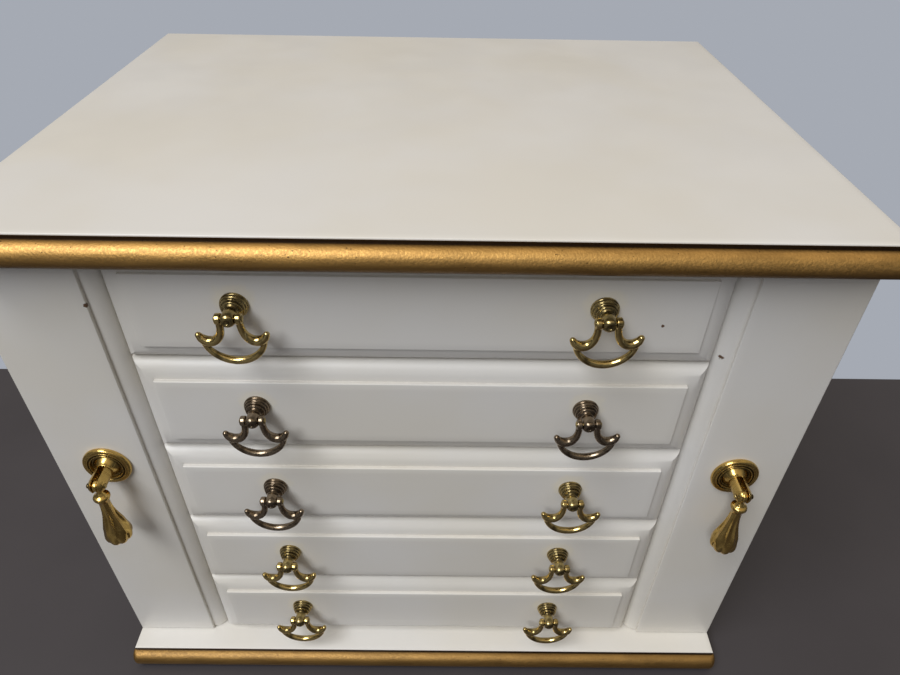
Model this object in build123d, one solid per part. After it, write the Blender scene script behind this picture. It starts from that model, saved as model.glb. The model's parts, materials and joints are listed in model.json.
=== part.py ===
from build123d import *

import os

# Jewellery chest: five drawers between two swing-out side doors, under and over two moulded boards.
# Millimetres. +X is to the viewer's right, +Y to the back, +Z up.
# The origin is the centre of the base's felt, on the surface that the chest stands on.

# ---- boards -------------------------------------------------------------------------------------
TOP_W = 340.0  # flat of the top board, side to side, without the beads
BASE_W = 344.0  # the same for the base board, as wide as the body
BOARD_D = 257.4  # both boards, front to back, without the bead
BOARD_T = 13.0
BEAD_R = 5.4  # half-round bead on the boards' edges
BEAD_END = 2.2  # how far the base board's bead runs past the sides
BEAD_END_ROUND = 2.0
FELT_T = 1.0
FELT_INSET = 5.0
BODY_H = 265.7  # clear height between the two boards

FRONT = -BOARD_D / 2
BACK = BOARD_D / 2
Z_BASE = FELT_T + BOARD_T  # upper face of the base board
Z_TOP = Z_BASE + BODY_H  # lower face of the top board

# ---- routed edge shared by the drawer fronts and the door stiles ----------------------------------
DRAWER_FACE_Y = FRONT + 10.0  # plane of the drawers' raised fields
DOOR_FACE_Y = FRONT + 12.0
FACE_BACK_Y = DOOR_FACE_Y + 14.0  # back of the drawer fronts and door stiles
ROUT_W = 8.7  # width of the routed edge
ROUT_STEP = 1.7  # square step beside the flat field
ROUT_RIM = 7.5  # depth of the rim below the flat field
STILE_ROUT_W = 7.1

# ---- drawers --------------------------------------------------------------------------------------
DRAWERS = 5
PITCH = BODY_H / DRAWERS
DRAWER_GAP = 1.4
FRONT_H = PITCH - DRAWER_GAP
FRONT_W = 241.2
BOX_BACK_Y = 106.0
SIDE_OUT_X = 120.3
SIDE_T = 8.0
SIDE_IN_X = SIDE_OUT_X - SIDE_T
BOX_LIFT = 3.0  # box above the lower edge of the front
BOX_H = 41.0
BOX_BACK_T = 6.0
BOTTOM_T = 3.0
BOTTOM_LIFT = 1.0
LINING_T = 1.2
LINING_H = 30.0

# ---- runners --------------------------------------------------------------------------------------
PART_IN_X = 121.3
PART_T = 7.0
RUNNER_H = 5.0
RUNNER_IN_X = 116.6
GROOVE_IN_X = 116.3
GROOVE_CLEAR = 0.4
RUNNER_Z = 27.0  # runner's centre above the box's lower edge
RUNNER_FRONT_Y = -90.0

# ---- doors ----------------------------------------------------------------------------------------
DOOR_OUT_X = BASE_W / 2
DOOR_CLEAR_Z = 0.8
STILE_IN_X = PART_IN_X
PANEL_T = 9.0
PANEL_IN_X = DOOR_OUT_X - PANEL_T
HINGE_Y = 119.7
HINGE_GAP = 0.3  # from the hinge line to the panel's edge, and to the back board
EDGE_ROUND = 0.8
BACK_FRONT_Y = HINGE_Y + HINGE_GAP
PANEL_BACK_Y = HINGE_Y - HINGE_GAP
DOOR_LINING_T = 1.0

# ---- hinges ---------------------------------------------------------------------------------------
KNUCKLE_R = 2.3
HINGE_X = DOOR_OUT_X + 2.65
HINGE_L = 38.0
HINGE_INSET = 42.0  # hinge's centre from the board above or below
KNUCKLES = 5
KNUCKLE_GAP = 0.3
LEAF_T = 1.0
LEAF_IN_X = 162.0
LEAF_EDGE_X = DOOR_OUT_X - 0.2
PIN_R = 1.0
PIN_CLEAR = 0.05
PIN_HEAD_R = 2.0
PIN_HEAD_H = 0.8
HINGE_ZS = (Z_BASE + HINGE_INSET, Z_TOP - HINGE_INSET)

# ---- magnetic catches -----------------------------------------------------------------------------
CATCH_X = PART_IN_X + PART_T / 2
CATCH_R = 2.5
CATCH_INSET_Z = 16.0
MAGNET_T = 3.0
CATCH_T = 1.5
CATCH_GAP = 0.5
CATCH_ZS = (Z_BASE + CATCH_INSET_Z, Z_TOP - CATCH_INSET_Z)

# ---- necklace hooks -------------------------------------------------------------------------------
HOOKS = 7
HOOK_PITCH = 28.0
HOOK_R = 1.1
HOOK_REACH = 7.0
HOOK_BEND_R = 3.0
BAR_T = 2.0
BAR_H = 9.0
BAR_Z = Z_TOP - 26.0
BAR_Y = 0.0

# ---- bail pulls -----------------------------------------------------------------------------------
PULL_X = 70.5
PULL_DROP = 21.6  # post's axis below the drawer front's upper edge
POST_REACH = 9.2  # pivot in front of the field
POST_BASE_R = 5.6
BARREL_R = 3.0
BARREL_HALF = 2.4
STUD_R = 1.6
STUD_L = 9.0
EAR_R = 2.2
EAR_IN_X = 2.7
EAR_OUT_X = 5.0
BAIL_PIN_R = 0.8
BAIL_PIN_CLEAR = 0.06
BAIL_PIN_HEAD_R = 1.3
BAIL_PIN_HEAD = 0.5
ARM_X = (EAR_IN_X + EAR_OUT_X) / 2
BOW_R = 12.0
BOW_Z = -8.0

# ---- pendant pulls --------------------------------------------------------------------------------
PENDANT_X = 147.6
PENDANT_ZS = {-1: 163.2, 1: 160.6}  # the right-hand pull sits a little lower
PENDANT_REACH = 13.0
PLATE_R = 11.1
CLEVIS_R = 3.9
CLEVIS_END_R = 2.8
SLOT_HALF = 1.45
SLOT_DEPTH = 8.0  # slot's back, behind the pivot
KNOB_HALF = 1.15
KNOB_R = 2.7
STEM_HALF = 1.0
PENDANT_PIN_R = 0.9


def box_between(low, high):
    """A box from its low corner to its high corner."""
    size = [h - l for l, h in zip(low, high)]
    centre = [(h + l) / 2 for l, h in zip(low, high)]
    return Pos(*centre) * Box(*size)


def mirrored_x(shape, side):
    """The shape itself on the right (side = 1), or its mirror image on the left (side = -1)."""
    return shape if side > 0 else mirror(shape, about=Plane.YZ)


def rod_x(centre, radius, x_low, x_high):
    """A cylinder along X, centred on (y, z)."""
    y, z = centre
    return Pos((x_low + x_high) / 2, y, z) * Rot(0, 90, 0) * Cylinder(radius, x_high - x_low)


def rod_y(centre, radius, y_low, y_high):
    """A cylinder along Y, centred on (x, z)."""
    x, z = centre
    return Pos(x, (y_low + y_high) / 2, z) * Rot(90, 0, 0) * Cylinder(radius, y_high - y_low)


# ---- carcass --------------------------------------------------------------------------------------
def moulded_board(width, z_low):
    """A board with a half-round bead, below a small square step, on its front and side edges."""
    flat_xz = Pos(0, BOARD_T / 2) * Rectangle(width, BOARD_T)
    beads_xz = [Pos(s * width / 2, BEAD_R) * Circle(BEAD_R) for s in (-1, 1)]
    across = Plane.XZ * (flat_xz + beads_xz)
    flat_yz = Pos(0, BOARD_T / 2) * Rectangle(BOARD_D, BOARD_T)
    bead_yz = Pos(FRONT, BEAD_R) * Circle(BEAD_R)
    along = Plane.YZ * (flat_yz + bead_yz)
    board = extrude(across, width, both=True) & extrude(along, width, both=True)
    return Pos(0, 0, z_low) * board


def base_board():
    """A plain-sided board with the bead on its front alone, rounded off a little past the sides."""
    board = box_between((-BASE_W / 2, FRONT, FELT_T), (BASE_W / 2, BACK, Z_BASE))
    bead = rod_x((FRONT, FELT_T + BEAD_R), BEAD_R, -BASE_W / 2 - BEAD_END, BASE_W / 2 + BEAD_END)
    return board + fillet(bead.edges().filter_by(GeomType.CIRCLE), BEAD_END_ROUND)


def base_felt():
    low = (-BASE_W / 2 + FELT_INSET, FRONT + FELT_INSET, 0)
    return box_between(low, (BASE_W / 2 - FELT_INSET, BACK - FELT_INSET, FELT_T))


def back_board():
    board = box_between((-DOOR_OUT_X, BACK_FRONT_Y, Z_BASE), (DOOR_OUT_X, BACK, Z_TOP))
    for side in (-1, 1):
        for z in HINGE_ZS:
            board -= mirrored_x(leaf_recess(z, BACK_FRONT_Y, BACK_FRONT_Y + LEAF_T), side)
    return board


def partition(side):
    """A board beside the drawers; a steel catch disc sits in each end of its front edge."""
    front_y = FACE_BACK_Y + CATCH_GAP
    board = box_between((PART_IN_X, front_y, Z_BASE), (PART_IN_X + PART_T, BACK_FRONT_Y, Z_TOP))
    for disc in catch_discs():
        board -= disc
    return mirrored_x(board, side)


def catch_discs():
    front_y = FACE_BACK_Y + CATCH_GAP
    return [rod_y((CATCH_X, z), CATCH_R, front_y, front_y + CATCH_T) for z in CATCH_ZS]


def box_low_z(drawer):
    return front_low_z(drawer) + BOX_LIFT


def front_low_z(drawer):
    """Lower edge of a drawer's front; drawer 1 is the highest."""
    return Z_TOP - DRAWER_GAP / 2 - (drawer - 1) * PITCH - FRONT_H


def runners():
    strips = []
    for drawer in range(1, DRAWERS + 1):
        z = box_low_z(drawer) + RUNNER_Z - RUNNER_H / 2
        low = (RUNNER_IN_X, RUNNER_FRONT_Y, z)
        strip = box_between(low, (PART_IN_X, BACK_FRONT_Y, z + RUNNER_H))
        strips += [mirrored_x(strip, side) for side in (-1, 1)]
    return Compound(children=strips)


# ---- hinges ---------------------------------------------------------------------------------------
def leaf_recess(z, y_low, y_high):
    """The shallow mortise for a leaf, open at the wood's outer face."""
    return box_between((LEAF_IN_X, y_low, z - HINGE_L / 2), (DOOR_OUT_X + 1, y_high, z + HINGE_L / 2))


def leaf_plate(z, y_low, y_high):
    """The flat of a right-hand hinge leaf, which lies in its mortise."""
    return box_between((LEAF_IN_X, y_low, z - HINGE_L / 2), (LEAF_EDGE_X, y_high, z + HINGE_L / 2))


def hinge_leaf(z, y_low, y_high, first):
    """A leaf with every second knuckle, from knuckle number first."""
    leaf = leaf_plate(z, y_low, y_high)
    step = HINGE_L / KNUCKLES
    for number in range(first, KNUCKLES, 2):
        low = z - HINGE_L / 2 + number * step + KNUCKLE_GAP / 2
        high = low + step - KNUCKLE_GAP
        leaf += box_between((LEAF_EDGE_X, y_low, low), (HINGE_X, y_high, high))
        leaf += Pos(HINGE_X, HINGE_Y, (low + high) / 2) * Cylinder(KNUCKLE_R, high - low)
    leaf -= Pos(HINGE_X, HINGE_Y, z) * Cylinder(PIN_R + PIN_CLEAR, HINGE_L + 2)
    return leaf


def frame_leaf(z):
    return hinge_leaf(z, BACK_FRONT_Y, BACK_FRONT_Y + LEAF_T, 0)


def door_leaf(z):
    return hinge_leaf(z, PANEL_BACK_Y - LEAF_T, PANEL_BACK_Y, 1)


def hinge_pin(z):
    pin = Pos(HINGE_X, HINGE_Y, z) * Cylinder(PIN_R, HINGE_L)
    for end in (-1, 1):
        middle = z + end * (HINGE_L + PIN_HEAD_H) / 2
        head = Pos(HINGE_X, HINGE_Y, middle) * Cylinder(PIN_HEAD_R, PIN_HEAD_H)
        pin += head
    return pin


# ---- side doors (drawn as the right-hand door) ----------------------------------------------------
def rout_points(edge, width, inward, face_y):
    """The rim, the foot of the step and the field's corner, for a board whose edge is at x = edge."""
    rim = (edge, face_y + ROUT_RIM)
    foot = (edge + inward * width, face_y + ROUT_STEP)
    field = (edge + inward * width, face_y)
    return rim, foot, field


def routed_curve(edge, width, inward, face_y):
    """A quarter ellipse from the rim, where it is square to the face, to the step's foot."""
    centre = (edge + inward * width, face_y + ROUT_RIM)
    start = 180 if inward > 0 else 270
    return EllipticalCenterArc(centre, width, ROUT_RIM - ROUT_STEP, start, arc_size=90)


def door_z():
    return Z_BASE + DOOR_CLEAR_Z, Z_TOP - DOOR_CLEAR_Z


def door_stile():
    """Front stile: flat, with a routed edge beside the drawers."""
    low, high = door_z()
    rim, foot, field = rout_points(STILE_IN_X, STILE_ROUT_W, 1, DOOR_FACE_Y)
    outer = [(DOOR_OUT_X, DOOR_FACE_Y), (DOOR_OUT_X, FACE_BACK_Y), (STILE_IN_X, FACE_BACK_Y)]
    curve = routed_curve(STILE_IN_X, STILE_ROUT_W, 1, DOOR_FACE_Y)
    section = make_face(curve + Polyline(foot, field, *outer, rim))
    stile = Pos(0, 0, low) * extrude(section, high - low)
    outer_edge = stile.edges().filter_by(Axis.Z).sort_by(Axis.X)[-2:].sort_by(Axis.Y)[0]
    stile = fillet(outer_edge, EDGE_ROUND)
    for magnet in magnets():
        stile -= magnet
    return stile


def magnets():
    return [rod_y((CATCH_X, z), CATCH_R, FACE_BACK_Y - MAGNET_T, FACE_BACK_Y) for z in CATCH_ZS]


def door_panel():
    """Side panel, full depth, with the hinge leaves let into its back edge."""
    low, high = door_z()
    panel = box_between((PANEL_IN_X, FACE_BACK_Y, low), (DOOR_OUT_X, PANEL_BACK_Y, high))
    for z in HINGE_ZS:
        panel -= leaf_recess(z, PANEL_BACK_Y - LEAF_T, PANEL_BACK_Y)
    return panel


def door_lining():
    low, high = door_z()
    margin = 12.0
    corner = (PANEL_IN_X - DOOR_LINING_T, FACE_BACK_Y + margin / 2, low + margin)
    return box_between(corner, (PANEL_IN_X, PANEL_BACK_Y - margin, high - margin))


def hook_bar():
    """A brass strip on the lining, with upturned hooks for necklaces."""
    face_x = PANEL_IN_X - DOOR_LINING_T
    half = (HOOKS - 1) * HOOK_PITCH / 2 + 8.0
    low = (face_x - BAR_T, BAR_Y - half, BAR_Z - BAR_H / 2)
    bar = box_between(low, (face_x, BAR_Y + half, BAR_Z + BAR_H / 2))
    start_x = face_x - BAR_T / 2
    bend_x = face_x - BAR_T - HOOK_REACH
    straight = Line((start_x, 0), (bend_x, 0))
    bend = CenterArc((bend_x, HOOK_BEND_R), HOOK_BEND_R, 270, -90)
    tip = Line((bend_x - HOOK_BEND_R, HOOK_BEND_R), (bend_x - HOOK_BEND_R, HOOK_BEND_R + 2.0))
    path = Plane.XZ * (straight + bend + tip)
    section = Plane(origin=(start_x, 0, 0), z_dir=(-1, 0, 0)) * Circle(HOOK_R)
    hook = sweep(section, path)
    for number in range(HOOKS):
        y = BAR_Y + (number - (HOOKS - 1) / 2) * HOOK_PITCH
        bar += Pos(0, y, BAR_Z - BAR_H / 4) * hook
    return bar


# ---- drawers --------------------------------------------------------------------------------------
def raised_front(width, height):
    """A drawer front with a raised field and the routed edge mitred round all four sides."""

    def section(size):
        half = size / 2
        rim_l, foot_l, field_l = rout_points(-half, ROUT_W, 1, DRAWER_FACE_Y)
        rim_r, foot_r, field_r = rout_points(half, ROUT_W, -1, DRAWER_FACE_Y)
        back = Polyline(rim_r, (half, FACE_BACK_Y), (-half, FACE_BACK_Y), rim_l)
        front = Polyline(foot_l, field_l, field_r, foot_r)
        curves = [routed_curve(e * half, ROUT_W, -e, DRAWER_FACE_Y) for e in (-1, 1)]
        return make_face(back + front + curves)

    upright = extrude(section(width), height, both=True)
    lying = Rot(0, 90, 0) * extrude(section(height), width, both=True)
    return upright & lying


def drawer_front(drawer):
    z_low = front_low_z(drawer)
    front = Pos(0, 0, z_low + FRONT_H / 2) * raised_front(FRONT_W, FRONT_H)
    for side in (-1, 1):
        stud = (DRAWER_FACE_Y - 1, DRAWER_FACE_Y + STUD_L)
        front -= rod_y((side * PULL_X, pull_z(drawer)), STUD_R, *stud)
    return front


def pull_z(drawer):
    return front_low_z(drawer) + FRONT_H - PULL_DROP


def drawer_box(drawer):
    """Two sides, each with a stopped groove for its runner, and the back between them."""
    z_low = box_low_z(drawer)
    z_high = z_low + BOX_H
    side_board = box_between((SIDE_IN_X, FACE_BACK_Y, z_low), (SIDE_OUT_X, BOX_BACK_Y, z_high))
    groove_half = RUNNER_H / 2 + GROOVE_CLEAR
    groove_z = z_low + RUNNER_Z
    groove_low = (GROOVE_IN_X, RUNNER_FRONT_Y - 1.0, groove_z - groove_half)
    side_board -= box_between(groove_low, (SIDE_OUT_X + 1, BOX_BACK_Y + 1, groove_z + groove_half))
    back_low = (-SIDE_IN_X, BOX_BACK_Y - BOX_BACK_T, z_low)
    back = box_between(back_low, (SIDE_IN_X, BOX_BACK_Y, z_high))
    return Compound(children=[mirrored_x(side_board, -1), side_board, back])


def drawer_bottom(drawer):
    z_low = box_low_z(drawer) + BOTTOM_LIFT
    low = (-SIDE_IN_X, FACE_BACK_Y, z_low)
    return box_between(low, (SIDE_IN_X, BOX_BACK_Y - BOX_BACK_T, z_low + BOTTOM_T))


def drawer_lining(drawer):
    """A velvet tray: a floor and four thin walls."""
    z_low = box_low_z(drawer) + BOTTOM_LIFT + BOTTOM_T
    low = (-SIDE_IN_X, FACE_BACK_Y, z_low)
    high = (SIDE_IN_X, BOX_BACK_Y - BOX_BACK_T, z_low + LINING_H)
    hollow_low = [value + LINING_T for value in low]
    hollow_high = (high[0] - LINING_T, high[1] - LINING_T, high[2] + 1)
    return box_between(low, high) - box_between(hollow_low, hollow_high)


# ---- bail pulls, drawn about the pivot at the origin ----------------------------------------------
def turned(profile):
    """A solid turned about the Y axis, from (distance in front of the pivot's plane, radius) points."""
    outline = Plane.XY * make_face(Polyline([(0, profile[0][0])] + [(r, y) for y, r in profile]
                                            + [(0, profile[-1][0])], close=True))
    return revolve(outline, Axis.Y)


def pull_post():
    """Stepped round base, neck, and the barrel that the bail's ears flank."""
    face = POST_REACH
    rings = [(face, POST_BASE_R), (face - 1.1, POST_BASE_R), (face - 1.5, POST_BASE_R - 0.5)]
    rings += [(face - 1.7, POST_BASE_R - 0.4), (face - 2.6, POST_BASE_R - 0.6), (face - 3.0, POST_BASE_R - 1.2)]
    rings += [(face - 3.2, POST_BASE_R - 1.1), (face - 4.0, POST_BASE_R - 1.4), (face - 4.6, 3.0)]
    rings += [(face - 5.6, 2.3), (1.0, 2.1)]
    post = turned(rings) + rod_x((0, 0), BARREL_R, -BARREL_HALF, BARREL_HALF)
    post += rod_y((0, 0), STUD_R, POST_REACH, POST_REACH + STUD_L)
    post -= rod_x((0, 0), BAIL_PIN_R, -BARREL_HALF - 1, BARREL_HALF + 1)
    return post


def bail_pin():
    pin = rod_x((0, 0), BAIL_PIN_R, -EAR_OUT_X - 0.2, EAR_OUT_X + 0.2)
    for end in (-1, 1):
        inner = EAR_OUT_X + 0.2
        low, high = sorted((end * inner, end * (inner + BAIL_PIN_HEAD)))
        pin += rod_x((0, 0), BAIL_PIN_HEAD_R, low, high)
    return pin


def tapered_rod(path, radii):
    """A round rod along a path in the XZ plane, its radius blending from one end to the other."""
    count = len(radii) - 1
    sections = [Plane(origin=path @ (i / count), z_dir=path % (i / count)) * Circle(radius)
                for i, radius in enumerate(radii)]
    return sweep(sections, path=path, multisection=True)


def bail():
    """Two S-shaped arms that end in upturned horns, joined by a bow that is thickest at its middle."""
    arm_line = Plane.XZ * Spline((ARM_X, 0), (ARM_X + 0.1, -5.0), (9.6, -10.4), (13.0, -7.6),
                                 tangents=((0, -1), (0.55, 1)))
    arm = tapered_rod(arm_line.edge(), (1.25, 1.3, 1.4, 1.8, 1.75, 0.9))
    bow_line = Plane.XZ * CenterArc((0, BOW_Z), BOW_R, 194, 152)
    shape = tapered_rod(bow_line.edge(), (1.0, 1.3, 1.6, 1.3, 1.0))
    for side in (-1, 1):
        shape += mirrored_x(arm + rod_x((0, 0), EAR_R, EAR_IN_X, EAR_OUT_X), side)
    shape -= rod_x((0, 0), BAIL_PIN_R + BAIL_PIN_CLEAR, -EAR_OUT_X - 1, EAR_OUT_X + 1)
    shape -= rod_x((0, 0), BARREL_R + 0.35, -EAR_IN_X, EAR_IN_X)
    return shape


def pull_place(side, drawer):
    return Pos(side * PULL_X, DRAWER_FACE_Y - POST_REACH, pull_z(drawer))


def pull_posts(drawer):
    pieces = []
    for side in (-1, 1):
        pieces += [pull_place(side, drawer) * pull_post(), pull_place(side, drawer) * bail_pin()]
    return Compound(children=pieces)


# ---- pendant pulls, drawn about the pivot at the origin -------------------------------------------
def pendant_plate():
    """Dished round plate with stepped rings, and the clevis post that holds the drop."""
    face = PENDANT_REACH
    rings = [(face, PLATE_R), (face - 1.2, PLATE_R), (face - 2.2, PLATE_R - 0.8)]
    rings += [(face - 2.4, PLATE_R - 1.6), (face - 2.1, PLATE_R - 2.3), (face - 2.4, PLATE_R - 2.7)]
    rings += [(face - 2.1, PLATE_R - 3.2), (face - 1.3, PLATE_R - 4.1), (face - 1.3, PLATE_R - 5.0)]
    rings += [(face - 2.4, 5.0), (face - 4.2, CLEVIS_R), (0, CLEVIS_R)]
    plate = turned(rings)
    for side in (-1, 1):
        above = box_between((-PLATE_R, -PLATE_R, CLEVIS_END_R), (PLATE_R, SLOT_DEPTH / 2, PLATE_R))
        plate -= above if side > 0 else mirror(above, about=Plane.XY)
    plate += rod_x((0, 0), CLEVIS_END_R, -CLEVIS_R, CLEVIS_R)
    plate -= box_between((-SLOT_HALF, -PLATE_R, -PLATE_R), (SLOT_HALF, SLOT_DEPTH, PLATE_R))
    plate += rod_y((0, 0), STUD_R, face, face + STUD_L)
    plate -= rod_x((0, 0), PENDANT_PIN_R, -PLATE_R, PLATE_R)
    return plate


def pendant_pin():
    return rod_x((0, 0), PENDANT_PIN_R, -CLEVIS_R, CLEVIS_R)


def pendant_drop():
    """Knuckle, collar, slender neck and a pear-shaped bulb."""
    outline = Plane.XZ * make_face(
        Polyline((0, -3.0), (STEM_HALF, -3.0), (1.6, -5.4), (3.2, -6.6))
        + Spline((3.2, -6.6), (3.65, -7.9), (2.9, -9.2), tangents=((0.6, -1), (-1, -0.5)))
        + Spline((2.9, -9.2), (2.1, -12.5), (3.2, -21.0), (6.0, -31.0), (4.6, -37.6), (1.2, -39.6))
        + Polyline((1.2, -39.6), (1.1, -40.8), (0, -41.2), (0, -3.0))
    )
    drop = revolve(outline, Axis.Z) + rod_x((0, 0), KNOB_R, -KNOB_HALF, KNOB_HALF)
    drop += box_between((-STEM_HALF, -STEM_HALF, -5.0), (STEM_HALF, STEM_HALF, 0))
    drop -= rod_x((0, 0), PENDANT_PIN_R + BAIL_PIN_CLEAR, -PLATE_R, PLATE_R)
    return drop


def pendant_place(side):
    return Pos(side * PENDANT_X, DOOR_FACE_Y - PENDANT_REACH, PENDANT_ZS[side])


def stile_with_pull(side):
    """A stile with the hole that takes its pull's stud."""
    hole = rod_y((PENDANT_X, PENDANT_ZS[side]), STUD_R, DOOR_FACE_Y - 1, DOOR_FACE_Y + STUD_L)
    return mirrored_x(door_stile() - hole, side)


# ---- write every piece ----------------------------------------------------------------------------
def all_parts():
    parts = {
        "top_board": moulded_board(TOP_W, Z_TOP),
        "base_board": base_board(),
        "base_felt": base_felt(),
        "back_board": back_board(),
        "side_partitions": Compound(children=[partition(side) for side in (-1, 1)]),
        "drawer_runners": runners(),
        "hinge_frame_leaves": Compound(
            children=[mirrored_x(frame_leaf(z), side) for side in (-1, 1) for z in HINGE_ZS]),
        "hinge_pins": Compound(
            children=[mirrored_x(hinge_pin(z), side) for side in (-1, 1) for z in HINGE_ZS]),
        "catch_discs": Compound(
            children=[mirrored_x(disc, side) for side in (-1, 1) for disc in catch_discs()]),
    }
    for side, name in ((-1, "left"), (1, "right")):
        door = f"door_{name}"
        parts[f"{door}_stile"] = stile_with_pull(side)
        parts[f"{door}_panel"] = mirrored_x(door_panel(), side)
        parts[f"{door}_lining"] = mirrored_x(door_lining(), side)
        parts[f"{door}_hook_bar"] = mirrored_x(hook_bar(), side)
        parts[f"{door}_magnets"] = Compound(children=[mirrored_x(m, side) for m in magnets()])
        leaves = [mirrored_x(door_leaf(z), side) for z in HINGE_ZS]
        parts[f"{door}_hinge_leaves"] = Compound(children=leaves)
        place = pendant_place(side)
        parts[f"pendant_{name}_plate"] = Compound(children=[place * pendant_plate(), place * pendant_pin()])
        parts[f"pendant_{name}_drop"] = place * pendant_drop()
    for drawer in range(1, DRAWERS + 1):
        name = f"drawer_{drawer}"
        parts[f"{name}_front"] = drawer_front(drawer)
        parts[f"{name}_box"] = drawer_box(drawer)
        parts[f"{name}_bottom"] = drawer_bottom(drawer)
        parts[f"{name}_lining"] = drawer_lining(drawer)
        parts[f"{name}_pull_posts"] = pull_posts(drawer)
        for side, hand in ((-1, "left"), (1, "right")):
            parts[f"{name}_bail_{hand}"] = pull_place(side, drawer) * bail()
    return parts


os.makedirs("parts", exist_ok=True)
for node, shape in all_parts().items():
    export_step(shape, os.path.join("parts", f"{node}.step"))
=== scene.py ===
"""Looks for the jewellery chest: painted boards, fronts and doors, cast brass pulls and velvet linings.

Shapes are drawn in millimetres in the CAD's own axes and become metres when a mesh is made.
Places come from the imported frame: the CAD nodes' boxes and the joints' positions.
"""

import json
import math

import bmesh
import bpy
from mathutils import Matrix, Vector, noise


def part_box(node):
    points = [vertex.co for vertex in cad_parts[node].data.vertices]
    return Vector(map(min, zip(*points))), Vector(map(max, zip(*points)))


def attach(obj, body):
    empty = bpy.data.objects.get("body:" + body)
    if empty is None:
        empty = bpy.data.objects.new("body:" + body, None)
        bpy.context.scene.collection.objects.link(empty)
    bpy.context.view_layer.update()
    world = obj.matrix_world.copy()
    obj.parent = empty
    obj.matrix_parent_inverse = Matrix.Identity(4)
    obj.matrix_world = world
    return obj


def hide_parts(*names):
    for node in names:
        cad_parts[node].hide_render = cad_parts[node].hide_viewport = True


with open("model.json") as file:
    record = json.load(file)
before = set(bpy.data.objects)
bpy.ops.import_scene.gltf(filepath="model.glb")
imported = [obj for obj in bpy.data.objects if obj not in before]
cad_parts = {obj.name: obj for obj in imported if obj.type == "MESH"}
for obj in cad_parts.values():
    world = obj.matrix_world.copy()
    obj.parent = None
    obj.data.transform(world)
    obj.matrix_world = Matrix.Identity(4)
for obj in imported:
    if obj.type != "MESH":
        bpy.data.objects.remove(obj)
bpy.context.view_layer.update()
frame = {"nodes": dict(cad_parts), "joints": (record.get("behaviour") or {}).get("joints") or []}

MM = 0.001
SIDES = ((-1, "left"), (1, "right"))
DRAWERS = range(1, 6)

# ---- camera and light -------------------------------------------------------------------------------
CAMERA_PLACE = (0.00975, -0.32522, 0.40467)
CAMERA_YAW = math.radians(0.526)
CAMERA_PITCH = math.radians(38.112)  # down from the horizon
CAMERA_ROLL = math.radians(-1.023)
CAMERA_LENS = 26.6
KEY_PLACE = (-1.3, -2.5, 2.9)  # in metres, above and to the front left
KEY_TURN = (0, math.radians(-22), 0)
KEY_SIZE = (1.2, 3.8)
KEY_POWER = 126
SKY_LOW, SKY_HIGH = 0.05, 0.47
WALL_GLOW = 0.36  # the pale wall that is seen past the table's edge
TABLE_EDGE = 136  # millimetres behind the chest's middle

# ---- sizes shared with the CAD, in millimetres --------------------------------------------------------
BOARD_T = 13.0
BEAD_R = 5.4
BEAD_END = 2.2
BEAD_INSET = 1.6
BOARD_ROUND = 0.5
ROUT_W = 8.7
STILE_ROUT_W = 7.1
ROUT_STEP = 1.7
ROUT_RIM = 7.5
EDGE_ROUND = 0.8
POST_REACH = 9.2
HEAD_HALF = 2.45
PENDANT_REACH = 13.0
SLOT_HALF = 1.45

# ---- wear, in millimetres -----------------------------------------------------------------------------
HALO_RISE = 1.5  # of the yellowed ring's middle above the post
CHIPS = (  # (place, radius)
    ((71.7, -115.5, 175.4), 1.5),
    ((-70.0, -117.5, 129.8), 1.4),
    ((124.5, -113.0, 230.2), 1.4),
    ((94.4, -118.7, 249.6), 0.7),
    ((-128.7, -116.4, 254.5), 1.0),
)
WORN_PULLS = ((2, -1), (2, 1), (3, -1))  # (drawer, side)
BAIL_TILT = 0.5  # degrees
BAIL_TILTS = {(1, -1): 1.5, (1, 1): 3.2, (2, -1): 1.3, (2, 1): 2.6}  # where it differs, by (drawer, side)


# ---- small helpers ------------------------------------------------------------------------------------
def box_mm(node):
    low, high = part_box(node)
    return low / MM, high / MM


def joint_place(name):
    """Where a joint is, in millimetres."""
    joint = next(j for j in frame["joints"] if j["name"] == name)
    return Vector(joint["pos_m"]) / MM


def spline(points, count):
    """A smooth line through points of any dimension, with count steps between neighbours."""
    rows = [Vector(p) for p in points]
    rows = [2 * rows[0] - rows[1]] + rows + [2 * rows[-1] - rows[-2]]
    line = []
    for a, b, c, d in zip(rows, rows[1:], rows[2:], rows[3:]):
        for step in range(count):
            t = step / count
            line.append(0.5 * (2 * b + (c - a) * t + (2 * a - 5 * b + 4 * c - d) * t**2
                               + (3 * b - 3 * c + d - a) * t**3))
    return line + [rows[-2]]


def arc(centre, radii, start, end, count):
    """Points on an ellipse's arc, from start to end degrees."""
    angles = [math.radians(start + (end - start) * i / count) for i in range(count + 1)]
    return [(centre[0] + radii[0] * math.cos(a), centre[1] + radii[1] * math.sin(a)) for a in angles]


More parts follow.
